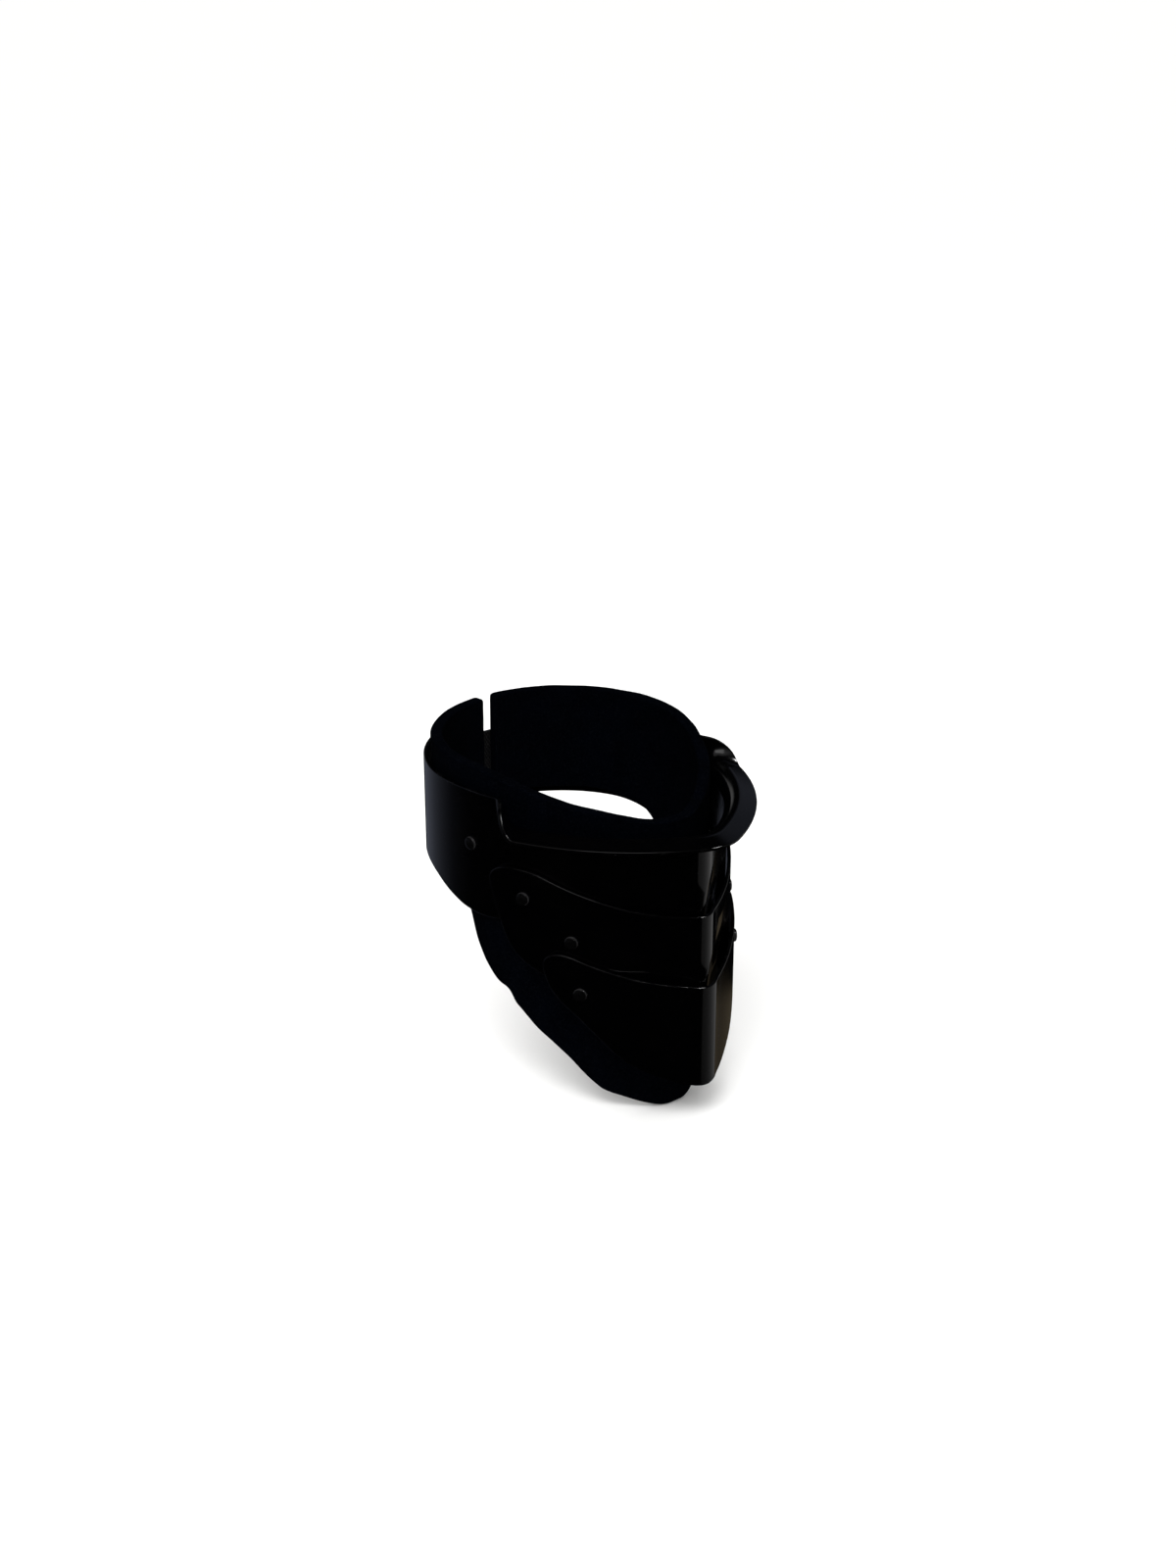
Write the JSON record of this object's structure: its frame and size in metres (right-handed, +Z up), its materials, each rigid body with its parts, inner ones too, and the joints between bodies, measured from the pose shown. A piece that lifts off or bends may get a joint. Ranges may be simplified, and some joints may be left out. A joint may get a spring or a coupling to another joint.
{
  "type": "steel gorget",
  "caption": "Neck armour with a standing collar plate, a turned-out chin flange, hanging front lames and a foam pad that ends in a bib.",
  "frame": {"origin": "on the axis of the wearer's neck, at the height of the neck plate's lower edge at the sides", "axes": "+Z up along the neck, -Y out of the throat, +X to the wearer's left"},
  "size_m": [0.1482, 0.1888, 0.1717],
  "materials": {
    "plate_paint": "gloss black coat",
    "rivet_finish": "dark satin",
    "pad_foam": "matte speckled foam",
    "strap_webbing": "matte black webbing"
  },
  "bodies": {
    "collar": {"neck_plate": "plate_paint", "neck_pad": "pad_foam", "back_strap": "strap_webbing", "band_rivet_left": "rivet_finish", "band_rivet_right": "rivet_finish", "upper_pivot_rivet_left": "rivet_finish", "upper_pivot_rivet_right": "rivet_finish"},
    "middle": {"middle_lame": "plate_paint", "middle_rivet_left": "rivet_finish", "middle_rivet_right": "rivet_finish", "lower_pivot_rivet_left": "rivet_finish", "lower_pivot_rivet_right": "rivet_finish"},
    "lower": {"lower_lame": "plate_paint"}
  },
  "joints": [
    {"name": "middle_lame_pivot", "type": "hinge", "parent": "collar", "child": "middle", "pos_m": [0, -0.0452, 0.0133], "axis": [-1, 0, 0], "range_deg": [0, 5]},
    {"name": "lower_lame_pivot", "type": "hinge", "parent": "middle", "child": "lower", "pos_m": [0, -0.0716, -0.0309], "axis": [-1, 0, 0], "range_deg": [0, 4]}
  ]
}
